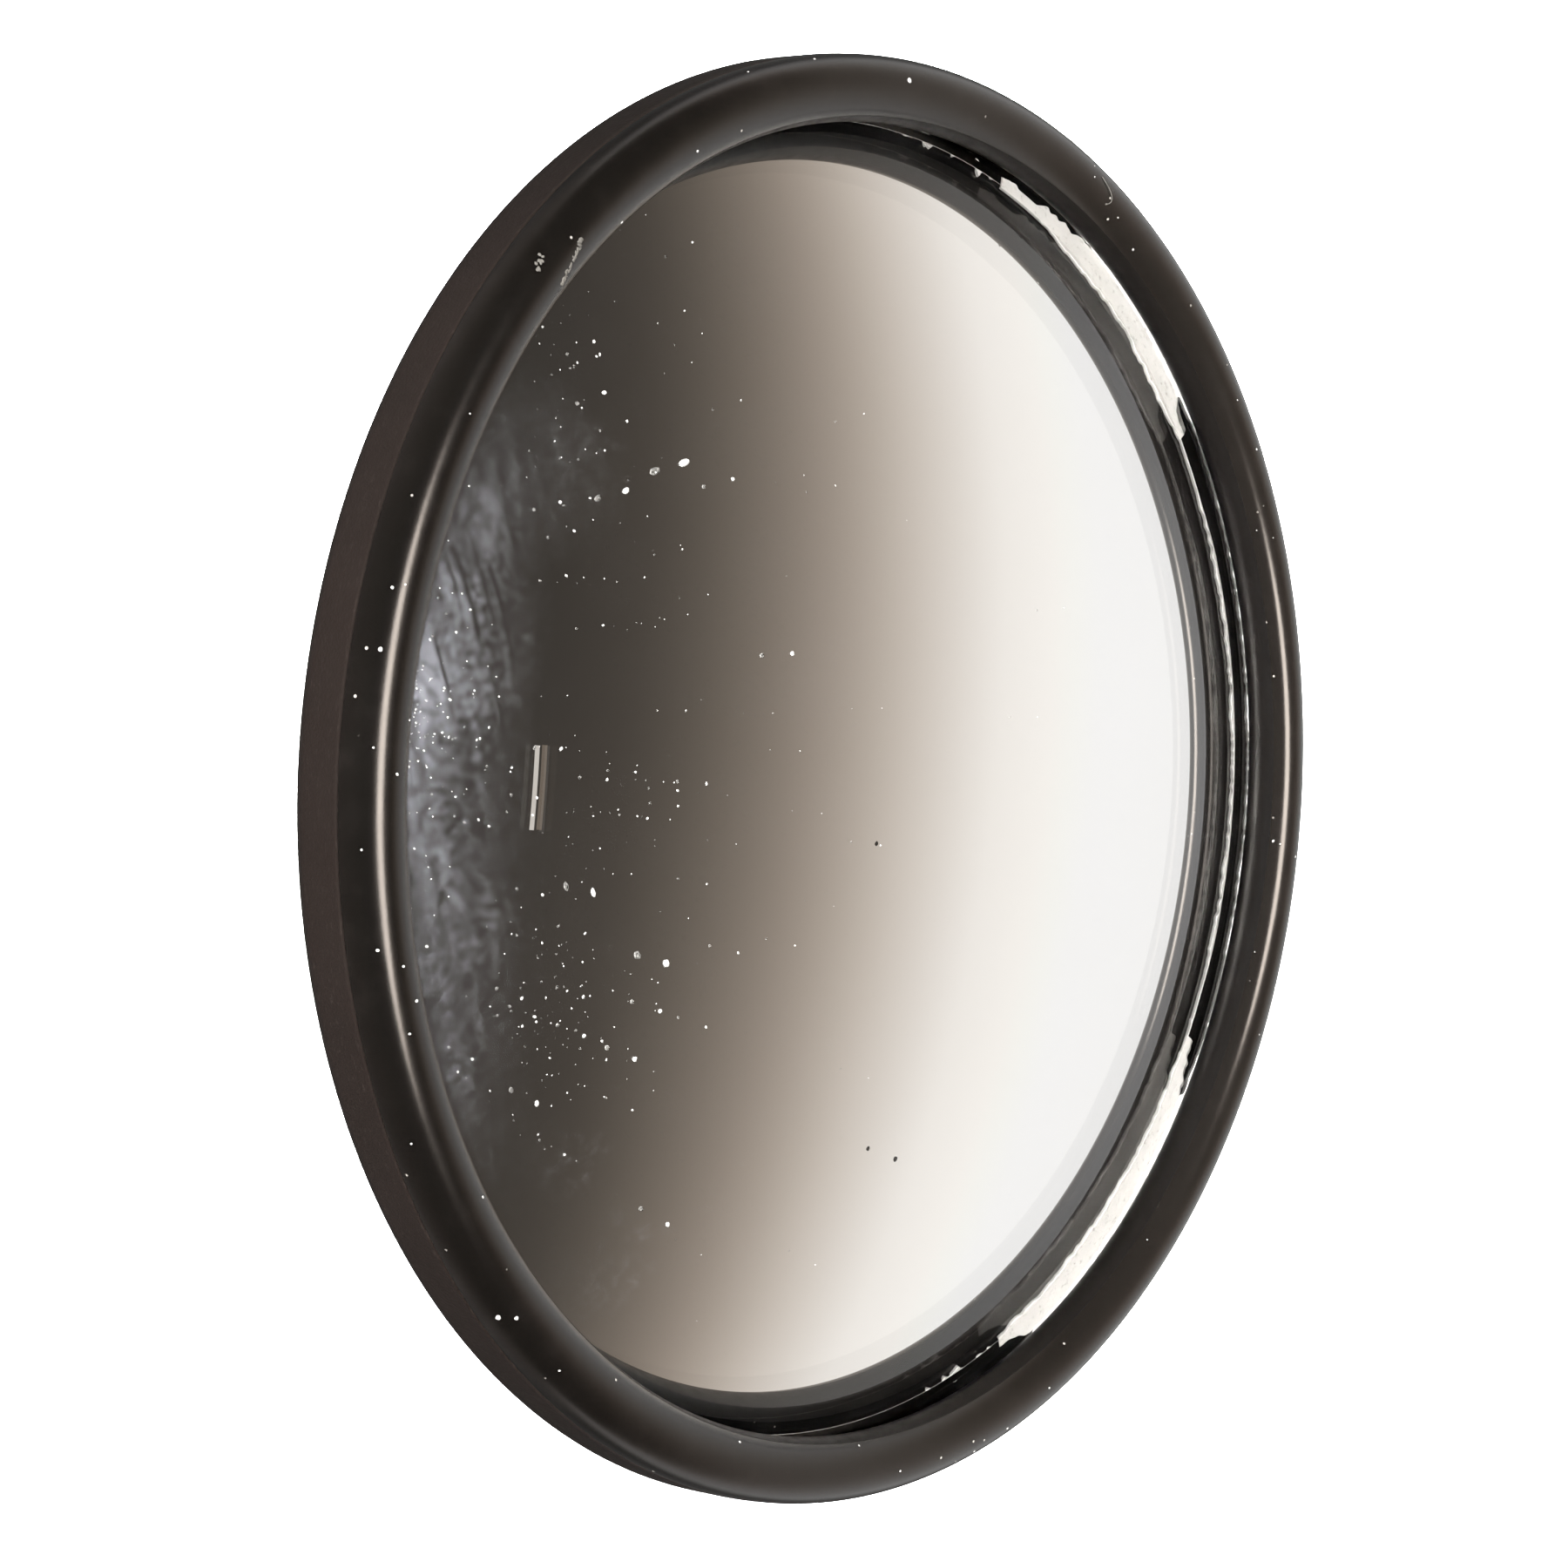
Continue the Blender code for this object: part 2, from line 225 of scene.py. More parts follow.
class Finish(Nodes):
    """A Principled material and short calls for its textures."""

    def __init__(self, name):
        self.material = bpy.data.materials.new(name)
        self.material.use_nodes = True
        super().__init__(self.material.node_tree)
        self.shader = self.tree.nodes["Principled BSDF"]
        self.place = self.node("ShaderNodeTexCoord").outputs["Object"]

    def set(self, **inputs):
        for key, value in inputs.items():
            self.feed(self.shader.inputs[key.replace("_", " ")], value)

    def noise(self, size_mm, detail=3.0, rough=0.55, place=None):
        made = self.node("ShaderNodeTexNoise")
        self.feed(made.inputs["Vector"], place or self.place)
        made.inputs["Scale"].default_value = 1 / (size_mm * MM)
        made.inputs["Detail"].default_value = detail
        made.inputs["Roughness"].default_value = rough
        return made.outputs["Fac"]

    def cells(self, size_mm):
        made = self.node("ShaderNodeTexVoronoi", feature="F1")
        self.feed(made.inputs["Vector"], self.place)
        made.inputs["Scale"].default_value = 1 / (size_mm * MM)
        return made.outputs["Distance"]

    def mix(self, share, first, second):
        made = self.node("ShaderNodeMix", data_type="RGBA")
        self.feed(made.inputs["Factor"], share)
        self.feed(made.inputs[6], first)
        self.feed(made.inputs[7], second)
        return made.outputs[2]

    def stretched(self, scale, place=None):
        made = self.node("ShaderNodeMapping")
        self.feed(made.inputs["Vector"], place or self.place)
        made.inputs["Scale"].default_value = scale
        return made.outputs[0]

    def diagonal(self, scale, turn_deg):
        """Coordinates turned in the mirror's plane and then stretched."""
        made = self.node("ShaderNodeVectorRotate", rotation_type="Y_AXIS")
        self.feed(made.inputs["Vector"], self.place)
        made.inputs["Angle"].default_value = math.radians(turn_deg)
        return self.stretched(scale, made.outputs[0])

    def split(self):
        made = self.node("ShaderNodeSeparateXYZ")
        self.feed(made.inputs[0], self.place)
        return made.outputs[0], made.outputs[1], made.outputs[2]

    def bump(self, height, depth_mm, below=None):
        made = self.node("ShaderNodeBump")
        made.inputs["Strength"].default_value = 1.0
        made.inputs["Distance"].default_value = depth_mm * MM
        self.feed(made.inputs["Height"], height)
        if below is not None:
            self.feed(made.inputs["Normal"], below)
        return made.outputs[0]

    def squares(self, a, b):
        return self.math("ADD", self.math("MULTIPLY", a, a), self.math("MULTIPLY", b, b))

    def arc_line(self, x_mm, z_mm, radius_mm, width_mm):
        """1 on a thin circle and 0 away from it."""
        x, _, z = self.split()
        x = self.math("SUBTRACT", x, x_mm * MM)
        z = self.math("SUBTRACT", z, z_mm * MM)
        away = self.math("SUBTRACT", self.math("SQRT", self.squares(x, z)), radius_mm * MM)
        away = self.math("ABSOLUTE", away)
        return self.range(away, width_mm * MM, 0.0)

    def spot(self, x_mm, z_mm, wide_mm, tall_mm, lean_deg=0.0):
        """A soft patch on the glass, 1 at its middle and 0 outside."""
        x, _, z = self.split()
        x = self.math("SUBTRACT", x, x_mm * MM)
        z = self.math("SUBTRACT", z, z_mm * MM)
        c, s = math.cos(math.radians(lean_deg)), math.sin(math.radians(lean_deg))
        across = self.math("ADD", self.math("MULTIPLY", x, c), self.math("MULTIPLY", z, s))
        along = self.math("SUBTRACT", self.math("MULTIPLY", z, c), self.math("MULTIPLY", x, s))
        across = self.math("DIVIDE", across, wide_mm * MM)
        along = self.math("DIVIDE", along, tall_mm * MM)
        return self.range(self.squares(across, along), 1.0, 0.0)


# ---------------------------------------------------------------- materials


def bead_finish():
    f = Finish("bead_gloss_black")
    x, _, _ = f.split()
    # Lighter towards +X, the right side: painted light from the bright side of the room.
    painted_light_right = f.range(x, -20 * MM, 22 * MM)
    dark = f.mix(painted_light_right, (0.0011, 0.0009, 0.0007), (0.0028, 0.0023, 0.0019))
    light = f.mix(painted_light_right, (0.0019, 0.0015, 0.0012), (0.0042, 0.0034, 0.0028))
    tone = f.mix(f.noise(9, 4), dark, light)
    film = f.range(f.noise(2.2, 6, 0.7), 0.52, 0.75)
    tone = f.mix(f.math("MULTIPLY", film, 0.12), tone, (0.012, 0.010, 0.009))
    speck = f.range(f.cells(0.9), 0.10, 0.05)
    speck = f.math("MULTIPLY", speck, f.range(f.noise(3.0, 2), 0.56, 0.62))
    f.set(Base_Color=f.mix(f.math("MULTIPLY", speck, 0.5), tone, (0.30, 0.28, 0.25)))
    rough = f.range(f.noise(1.6, 5, 0.65), 0.35, 0.70, 0.175, 0.215)
    f.set(Roughness=f.math("ADD", rough, f.range(x, -38 * MM, 38 * MM, 0.035, 0.0)))
    f.set(Specular_Tint=(1.0, 0.91, 0.84, 1.0))
    grain = f.bump(f.noise(0.10, 2), 0.0015)
    f.set(Normal=f.bump(f.noise(2.5, 3), 0.012, grain), IOR=1.5)
    return f.material


def inner_face_finish():
    """The rim's inner face, dulled where sealant was wiped off it."""
    f = Finish("rim_inner_dull_black")
    f.set(Base_Color=f.mix(f.noise(1.5, 4), (0.0024, 0.0019, 0.0016), (0.0036, 0.0029, 0.0024)))
    f.set(Roughness=f.range(f.noise(0.8, 4), 0.35, 0.70, 0.34, 0.46))
    f.set(Specular_IOR_Level=0.14, Normal=f.bump(f.noise(0.4, 3), 0.006))
    return f.material


def housing_finish():
    f = Finish("housing_matte_black")
    tone = f.mix(f.noise(6, 5, 0.6), (0.0034, 0.0020, 0.0016), (0.0052, 0.0031, 0.0025))
    scuff = f.range(f.noise(0.5, 4, 0.6, f.stretched((1.0, 6.0, 1.0))), 0.60, 0.72)
    f.set(Base_Color=f.mix(f.math("MULTIPLY", scuff, 0.25), tone, (0.022, 0.019, 0.016)))
    f.set(Roughness=f.range(f.noise(2.5, 4), 0.3, 0.7, 0.46, 0.58))
    f.set(Specular_Tint=(0.70, 0.57, 0.51, 1.0))
    texture = f.bump(f.noise(0.16, 2, 0.5), 0.018)
    f.set(Normal=f.bump(f.noise(3.0, 2), 0.03, texture), IOR=1.5)
    return f.material


# Wiped lines through the haze: middle x and z, radius of the curve, half width, reach (mm)
HAZE_LINES = (
    (-29.95, 9.9, 34, 0.15, 3.2), (-28.35, 9.3, 30, 0.15, 3.0), (-30.7, 10.8, 28, 0.09, 2.6),
    (-29.2, 10.6, 44, 0.09, 2.8), (-31.4, 6.6, 26, 0.11, 3.0), (-28.9, 5.6, 34, 0.09, 2.6),
)
# Smudges: x, z, half width, half height (mm), lean
SMUDGES = (
    (-23.6, 17.4, 3.2, 1.3, -8), (-24.1, -16.9, 2.4, 1.9, 20), (-21.3, -23.3, 3.4, 1.8, 20),
    (-19.5, -20.9, 1.8, 0.7, 0), (-6.0, 3.0, 1.2, 0.5, 50),
)
HAZE_SHARE = 0.27  # how much of the film's strength scatters light
HAZE_FULL, HAZE_END = 33.2, 33.8  # mm from the axis: it fades out before the lip
WIPE_LEAN = 12.5  # degrees by which the wiping leans from upright
WIPE_BEND = (0.976, 0.216)  # direction from the centre of a line's curve to the line's middle
# Haze on the glass: x, z, half width, half height (mm), sharpness of its middle, strength
HAZE = (
    (-34.5, 6.5, 4.8, 7.5, 2.0, 0.140), (-34.5, 1.0, 11.5, 44.0, 4.0, 0.095),
    (-30.2, 10.0, 4.6, 6.4, 1.0, 0.048), (-27.0, 16.0, 7.0, 5.0, 1.0, 0.028),
)


def glass_finish():
    """Clear glass with a wiped, dusty film that is thickest at the left."""
    f = Finish("mirror_glass_clear")
    veil = 0.0
    for x_mm, z_mm, wide, tall, power, strength in HAZE:
        patch = f.math("POWER", f.spot(x_mm, z_mm, wide, tall, 3), power)
        veil = f.math("ADD", f.math("MULTIPLY", patch, strength), veil)
    grain = f.range(f.noise(0.42, 4, 0.7), 0.36, 0.64, 0.45, 1.55)
    cloud = f.noise(2.2, 5, 0.6, f.diagonal((1.0, 1.0, 0.5), WIPE_LEAN))
    cloud = f.range(cloud, 0.38, 0.62, 0.74, 1.24)
    streak = f.noise(0.9, 4, 0.6, f.diagonal((1.0, 1.0, 0.10), WIPE_LEAN))
    streak = f.range(streak, 0.40, 0.60, 0.78, 1.22)
    veil = f.math("MULTIPLY", veil, f.math("MULTIPLY", grain, f.math("MULTIPLY", cloud, streak)))
    x, _, z = f.split()
    away = f.math("SQRT", f.squares(x, z))
    veil = f.math("MULTIPLY", veil, f.range(away, HAZE_END * MM, HAZE_FULL * MM))
    for x_mm, z_mm, radius, width, tall in HAZE_LINES:
        centre_x, centre_z = x_mm - WIPE_BEND[0] * radius, z_mm - WIPE_BEND[1] * radius
        line = f.arc_line(centre_x, centre_z, radius, width)
        line = f.math("MULTIPLY", line, f.spot(x_mm, z_mm, tall, tall))
        veil = f.math("MULTIPLY", veil, f.math("SUBTRACT", 1.0, f.math("MULTIPLY", line, 0.95)))
    for place in SMUDGES:
        patch = f.math("MULTIPLY", f.spot(*place), f.range(f.noise(0.7, 5, 0.7), 0.46, 0.66))
        veil = f.math("MAXIMUM", veil, f.math("MULTIPLY", patch, 0.055))
    film = f.range(f.noise(7.0, 5, 0.65), 0.40, 0.85, 0.0, 0.10)
    veil = f.math("MAXIMUM", veil, f.math("MULTIPLY", film, 0.15))
    tint = f.range(veil, 0.0, 0.15)
    f.set(Base_Color=f.mix(tint, (1.0, 1.0, 1.0), (0.90, 0.91, 1.0)))
    f.set(Transmission_Weight=f.math("SUBTRACT", 1.0, f.math("MULTIPLY", veil, HAZE_SHARE)))
    f.set(Roughness=0.0, IOR=1.52)
    return f.material


def silver_finish():
    f = Finish("silver_layer")
    f.set(Base_Color=f.mix(f.noise(14, 3), (0.90, 0.89, 0.875), (0.93, 0.92, 0.905)))
    f.set(Metallic=1.0, Roughness=0.0)
    return f.material


def sealant_finish():
    f = Finish("sealant_white")
    dirt = f.range(f.noise(0.45, 5, 0.7), 0.56, 0.70)
    tone = f.mix(f.noise(1.5, 4), (0.56, 0.55, 0.53), (0.70, 0.69, 0.665))
    # Darker where the sealant stands off the glass and lighter where it lies on it: painted shade on its
    # exposed face and painted light on its underside, which is seen through the glass.
    centre = f.node("ShaderNodeVectorMath", operation="DISTANCE")
    f.feed(centre.inputs[0], f.place)
    centre.inputs[1].default_value = (0, -GLASS_CENTRE, 0)
    lift = f.math("SUBTRACT", centre.outputs["Value"], GLASS_CURVE)
    tone = f.mix(f.range(lift, 0.02 * MM, 0.06 * MM), tone, (0.27, 0.262, 0.25))
    f.set(Base_Color=f.mix(f.math("MULTIPLY", dirt, 0.6), tone, (0.20, 0.17, 0.14)))
    f.set(Roughness=0.5, Normal=f.bump(f.noise(0.3, 4), 0.03))
    return f.material


def dust_finish():
    f = Finish("dust_white")
    x, _, _ = f.split()
    bright = f.math("MAXIMUM", f.noise(0.6, 3), f.range(x, -28.5 * MM, -31.5 * MM))
    f.set(Base_Color=f.mix(bright, (0.035, 0.033, 0.030), (0.30, 0.295, 0.28)))
    f.set(Roughness=0.8)
    return f.material


def lint_finish():
    f = Finish("lint_grey")
    f.set(Base_Color=f.mix(f.noise(0.8, 2), (0.020, 0.018, 0.015), (0.060, 0.054, 0.045)), Roughness=0.7)
    return f.material


def paint_finish():
    f = Finish("backing_paint_grey")
    f.set(Base_Color=f.mix(f.noise(4, 4), (0.09, 0.09, 0.10), (0.14, 0.14, 0.15)))
    f.set(Roughness=f.range(f.noise(1.0, 3), 0.3, 0.7, 0.5, 0.7))
    f.set(Normal=f.bump(f.noise(0.4, 3), 0.02))
    return f.material


def foam_finish(name, dark, light, pore_mm):
    f = Finish(name)
    pores = f.cells(pore_mm)
    f.set(Base_Color=f.mix(f.range(pores, 0.15, 0.6), dark, light))
    f.set(Roughness=0.9, Normal=f.bump(pores, 0.06))
    return f.material


def silicone_finish():
    f = Finish("silicone_white")
    f.set(Base_Color=f.mix(f.noise(2, 3), (0.62, 0.62, 0.60), (0.76, 0.76, 0.73)))
    f.set(Roughness=0.35, Normal=f.bump(f.noise(1.2, 2), 0.05))
    return f.material


def film_finish():
    """Clear acrylic adhesive over foam: darker where it has wetted, with trapped bubbles."""
    f = Finish("adhesive_film")
    wet = f.range(f.noise(5.0, 5, 0.6), 0.42, 0.60)
    tone = f.mix(wet, (0.30, 0.27, 0.21), (0.20, 0.18, 0.145))
    bubble = f.range(f.cells(1.3), 0.16, 0.10)
    bubble = f.math("MULTIPLY", bubble, f.range(f.noise(6.0, 2), 0.45, 0.60))
    f.set(Base_Color=f.mix(bubble, tone, (0.40, 0.37, 0.31)))
    f.set(Roughness=f.range(f.noise(0.7, 4), 0.3, 0.7, 0.22, 0.45))
    f.set(Normal=f.bump(f.noise(1.1, 4), 0.05, f.bump(bubble, 0.03)))
    return f.material


# ---------------------------------------------------------------- pieces


def rim_bead(finish):
    centre = (RIM_RADIUS - BEAD_RADIUS, SEAM_HEIGHT)
    start = math.degrees(math.asin(SEAM_SHOWN / 2 / BEAD_RADIUS))
    section = arc(centre, BEAD_RADIUS, start, LIP_TURN, 44)
    section += dome(GLASS_CURVE + LIP_TO_GLASS, LIP_RADIUS + 0.1 * MM, SPIGOT_INNER, 3)
    spigot_end = SEAM_HEIGHT - SPIGOT_DEPTH
    section += [(SPIGOT_INNER, spigot_end), (SPIGOT_OUTER, spigot_end)]
    section += [(SPIGOT_OUTER, SEAM_HEIGHT + SEAM_SHOWN / 2)]
    return turned("rim_bead", section, finish, ("rim_bezel",), steps=384)


def rim_inner_face(finish):
    """A dull skin over the inner face of the bead, down to its lip."""
    centre = (RIM_RADIUS - BEAD_RADIUS, SEAM_HEIGHT)
    section = arc(centre, BEAD_RADIUS + 0.01 * MM, DULL_FROM, LIP_TURN, 24)
    section += arc(centre, BEAD_RADIUS - 0.04 * MM, LIP_TURN, DULL_FROM, 24)
    return turned("rim_inner_face", section, finish, ("rim_bezel",), steps=384)


def housing_shell(finish):
    top = SEAM_HEIGHT - SEAM_SHOWN / 2
    edge = 0.2 * MM  # radius of the seam's outer edge
    edge_radius = HOUSING_RADIUS - 0.15 * MM
    wall_inner = 37.1 * MM
    ledge, ledge_inner = SEAM_HEIGHT - 2.6 * MM, 36.35 * MM
    boss_inner, boss_outer, boss_top = 5.3 * MM, 7.5 * MM, 7.0 * MM
    bend = (HOUSING_RADIUS, SEAM_HEIGHT - 2.67 * MM)
    back_bend = (HOUSING_RADIUS - (bend[1] - BACK_HEIGHT), BACK_HEIGHT)
    recess, recess_floor = 28.6 * MM, 1.5 * MM
    section = [(0, FLOOR_HEIGHT), (boss_inner, FLOOR_HEIGHT), (boss_inner, boss_top)]
    section += [(boss_outer, boss_top), (boss_outer, FLOOR_HEIGHT)]
    section += [(34.6 * MM, FLOOR_HEIGHT), (35.55 * MM, 3.4 * MM), (ledge_inner, 4.1 * MM)]
    section += [(ledge_inner, ledge), (wall_inner, ledge), (wall_inner, top)]
    section += arc((edge_radius - edge, top - edge), edge, 90, 0, 6)
    section += fillet(section[-1], bend, back_bend, 1.2 * MM, 8)
    section += fillet(bend, back_bend, (0, BACK_HEIGHT), 3.0 * MM, 10)
    section += fillet(back_bend, (recess, BACK_HEIGHT), (recess, recess_floor), 0.15 * MM, 3)
    section += [(recess, recess_floor), (0, recess_floor)]
    return turned("housing_shell", section, finish, ("rear_housing",), closed=False)


def housing_ribs(finish):
    """Six radial ribs and three bosses on the floor, behind the glass."""
    shape = bmesh.new()
    sunk = FLOOR_HEIGHT - 0.45 * MM
    curve = GLASS_CURVE - 4.3 * MM
    rib_start, rib_end, rib_thickness = 6.4 * MM, 31 * MM, 1.2 * MM
    boss_radius, boss_top, boss_away = 3.3 * MM, 4.9 * MM, 20 * MM
    for index in range(6):
        outline = [(rib_start, sunk), (rib_end, sunk)] + dome(curve, rib_end, rib_start, 12)
        near = [shape.verts.new((d, -h, -rib_thickness / 2)) for d, h in outline]
        far = [shape.verts.new((d, -h, rib_thickness / 2)) for d, h in outline]
        shape.faces.new(near)
        shape.faces.new(far[::-1])
        for i in range(len(outline)):
            k = (i + 1) % len(outline)
            shape.faces.new((near[k], near[i], far[i], far[k]))
        turn = Matrix.Rotation(math.tau * (index + 0.5) / 6, 3, "Y")
        bmesh.ops.rotate(shape, verts=near + far, matrix=turn)
    for index in range(3):
        size = {"radius1": boss_radius, "radius2": boss_radius, "depth": boss_top - sunk}
        made = bmesh.ops.create_cone(shape, cap_ends=True, segments=48, **size)
        angle = math.tau * (index / 3 + 0.25) + math.pi / 6
        bmesh.ops.rotate(shape, verts=made["verts"], matrix=Matrix.Rotation(math.pi / 2, 3, "X"))
        place = (boss_away * math.cos(angle), -(boss_top + sunk) / 2, boss_away * math.sin(angle))
        bmesh.ops.translate(shape, verts=made["verts"], vec=place)
    return mesh_piece("housing_ribs", shape, finish, ("rear_housing",), 35)


def ground_edge():
    """Heights of the top and bottom of the glass's upright edge."""
    top = dome_height(GLASS_CURVE, GLASS_RADIUS) - GRIND
    bottom = dome_height(GLASS_CURVE - GLASS_THICKNESS, GLASS_RADIUS) + GRIND
    return top, bottom


def glass_lens(finish):
    front = dome(GLASS_CURVE, 0, GLASS_RADIUS - GRIND, 60)
    back = dome(GLASS_CURVE - GLASS_THICKNESS, GLASS_RADIUS - GRIND, 0, 60)
    section = front + [(GLASS_RADIUS, height) for height in ground_edge()] + back
    return turned("glass_lens", section, finish, ("mirror_glass",), closed=False)


def silver_layer(finish):
    """Its front lies just inside the glass's back, so that no air shows between them."""
    outer = GLASS_CURVE - GLASS_THICKNESS + 0.02 * MM
    edge = GLASS_RADIUS - GRIND - 0.01 * MM
    section = dome(outer, 0, edge, 60) + dome(outer - 0.25 * MM, edge, 0, 30)
    return turned("silver_layer", section, finish, ("silver_coating",), closed=False)


def squeeze_out(angle_deg, angle):
    """How far the sealant reaches past the lip in mm, and shares for its height and outer edge.

    Angles run anticlockwise from +X, so the two bands are at the upper and lower right.
    """
    dots = wobble(angle, 0.45, 1)
    fine = wobble(angle, 0.8, 5)
    rough = wobble(angle, 2.4, 2)
    coarse = wobble(angle, 8.0, 3)
    upper = smoothstep(32, 37, angle_deg) * smoothstep(71.0, 57, angle_deg) if angle_deg < 180 else 0
    lower = smoothstep(331, 326, angle_deg) * smoothstep(289.5, 293, angle_deg)
    band = max(upper, lower)
    right = smoothstep(44, 30, angle_deg) if angle_deg < 180 else smoothstep(318, 332, angle_deg)
    top = smoothstep(66, 72, angle_deg) * smoothstep(86, 80, angle_deg)
    low = smoothstep(276, 282, angle_deg) * smoothstep(296, 290, angle_deg)
    flecks = (0.9 * top + 0.55 * low) * max(0.0, 0.6 * dots + 0.6 * fine - 0.28)
    wavy = smoothstep(27, 20, angle_deg) if angle_deg < 180 else smoothstep(334, 342, angle_deg)
    idle = IDLE_REACH + 1.1 * flecks + right * (0.15 + 0.24 * dots + 0.10 * rough)
    idle = idle + wavy * (0.09 + 0.08 * coarse)
    wide = BAND_REACH + 0.10 * dots + 0.13 * fine + 0.12 * rough + 0.05 * coarse
    reach = max(IDLE_REACH, idle + (wide - idle) * band)
    return reach, max(band, right, min(1.0, 5 * flecks)), max(band, wavy)


def sealant_ring(finish):
    """Sealant between the lip and the glass, squeezed out unevenly."""
    nose_steps = 9

    def section_at(angle):
        reach, amount, outward = squeeze_out(math.degrees(angle), angle)
        outer = (RING_OUTER + RING_SPREAD * outward) * MM
        nose = min(LIP_RADIUS - reach * MM, outer - 0.02 * MM)
        foot = -WETTING
        height = RING_HEIGHT * (0.05 + 0.95 * amount)
        top = (nose + 0.015 * MM, height)
        knee = (nose + 0.0036 * MM, 0.72 * height)
        points = [(outer, foot), (outer, height)]
        for i in range(nose_steps + 1):
            t = i / nose_steps
            lump = 1 + 0.10 * noise.noise(Vector((angle * 260, t * 3.0, 4.0)))
            d = (1 - t) ** 2 * top[0] + 2 * t * (1 - t) * knee[0] + t * t * nose
            g = (1 - t) ** 2 * top[1] + 2 * t * (1 - t) * knee[1] * lump + t * t * foot
            points.append((d, g))
        return [(d, dome_height(GLASS_CURVE + g, d)) for d, g in points]

    verts, faces = turn_rings(section_at, 2400, True, nose_steps + 3)
    return add_piece("sealant_ring", verts, faces, finish, ("edge_sealant",), 60)


def sealant_edge(finish):
    """Sealant that ran down over the glass's ground edge and wets it, ragged towards the ends."""
    top, bottom = ground_edge()
    start_radius = 35.58 * MM
    bevel_radius = GLASS_RADIUS - GRIND

    def profile(off, cover):
        """Its section at a distance from the glass, down to a share of the edge's height."""
        low = top - (top - bottom) * cover
        full = smoothstep(0.85, 1.0, cover)
        back_height = dome_height(GLASS_CURVE - GLASS_THICKNESS - off, bevel_radius)
        outside = GLASS_RADIUS + 0.92 * off
        under = outside + (bevel_radius + off - outside) * full
        under_height = low + (back_height - low) * full - (1 - full) * 0.02 * MM
        front = (start_radius, dome_height(GLASS_CURVE + off, start_radius))
        return [front, (outside, top + 0.4 * off), (outside, low - 0.4 * off), (under, under_height)]

    steps, corners = 480, 8
    verts, faces = [], []
    for start, end, start_run, end_run in EDGE_ARCS:
        first = len(verts)
        for j in range(steps + 1):
            degrees = start + (end - start) * j / steps
            angle = math.radians(degrees)
            inside = min((degrees - start) / start_run, (end - degrees) / end_run)
            ragged = 0.35 * wobble(angle, 1.5, 9) + 0.20 * wobble(angle, 0.5, 11)
            cover = 1.25 * smoothstep(0.05, 1.0, inside) + ragged * smoothstep(1.4, 0.4, inside)
            cover = min(1.0, max(0.02, cover))
            for d, h in profile(-WETTING, cover) + profile(EDGE_COAT, cover)[::-1]:
                verts.append((d * math.cos(angle), -h, d * math.sin(angle)))
        for j in range(steps):
            near = first + corners * j
            far = near + corners
            for i in range(corners):
                k = (i + 1) % corners
                faces.append((near + i, near + k, far + k, far + i))
        faces.append(tuple(range(first, first + corners)))
        faces.append(tuple(range(first + corners * steps, first + corners * (steps + 1))))
    return add_piece("sealant_edge", verts, faces, finish, ("edge_sealant",), 60)


def blob(shape, centre, normal, size, flat, rng, stretch=1.0):
    """A small irregular grain on a surface."""
    made = bmesh.ops.create_icosphere(shape, subdivisions=2, radius=1.0)["verts"]
    seed = rng.uniform(0, 100)
    for vert in made:
        vert.co *= 1 + 0.35 * noise.noise(vert.co * 1.4 + Vector((seed, 0, 0)))
        vert.co = Vector((vert.co.x * stretch, vert.co.y, vert.co.z * flat)) * size
    spin = Matrix.Rotation(rng.uniform(0, math.tau), 4, "Z")
    lay = Vector((0, 0, 1)).rotation_difference(normal).to_matrix().to_4x4()
    bmesh.ops.transform(shape, verts=made, matrix=Matrix.Translation(centre) @ lay @ spin)


def on_glass(x, z):
    distance = math.hypot(x, z)
    point = Vector((x, -dome_height(GLASS_CURVE, distance), z))
    return point, (point - Vector((0, -GLASS_CENTRE, 0))).normalized()


def on_bead(angle_deg, around_deg, lift=0.0):
    """A point on the bead: angle round the rim and angle round its own section."""
    a, s = math.radians(angle_deg), math.radians(around_deg)
    outward = Vector((math.cos(a), 0, math.sin(a)))
    normal = outward * math.cos(s) + Vector((0, -1, 0)) * math.sin(s)
    ring = outward * (RIM_RADIUS - BEAD_RADIUS) + Vector((0, -SEAM_HEIGHT, 0))
    return ring + normal * (BEAD_RADIUS + lift), normal


# Patches of dust on the glass: middle x and z, spread x and z (mm), grains, largest radius (mm)
DUST_PATCHES = (
    (-32.6, 6.0, 0.8, 4.5, 110, 0.055),
    (-30.5, 3.0, 1.6, 2.6, 34, 0.070),
    (-22.4, 1.0, 2.6, 2.2, 26, 0.080),
    (-24.0, -6.5, 2.6, 2.6, 32, 0.080),
    (-25.2, -11.5, 2.8, 3.0, 48, 0.080),
    (-24.6, 21.0, 2.0, 3.6, 34, 0.065),
    (-25.5, 14.0, 3.2, 2.4, 14, 0.070),
    (-18.0, 20.0, 6.0, 8.0, 16, 0.065),
    (-14.0, -2.0, 8.0, 14.0, 34, 0.060),
    (0.0, 0.0, 16.0, 16.0, 12, 0.045),
)
# Single larger grains on the glass: x, z, radius, stretch
GRAINS = (
    (-17.9, 16.4, 0.18, 1.9), (-21.4, 15.0, 0.14, 1.5), (-15.0, 15.7, 0.10, 1.0),
    (-22.0, 19.6, 0.10, 1.2), (-25.0, 14.4, 0.085, 1.0),
    (-19.8, -7.5, 0.18, 1.1), (-21.3, -12.0, 0.13, 1.0), (-18.4, -20.6, 0.13, 1.0),
    (-24.0, -3.8, 0.12, 2.0), (-20.0, -9.8, 0.11, 1.0), (-26.5, -13.6, 0.12, 1.3),
    (-24.2, -10.6, 0.10, 1.0), (-12.0, 7.2, 0.12, 1.0), (-22.2, 22.0, 0.09, 1.0),
)
BEAD_SPECKS = 46  # small grains scattered over the whole bead
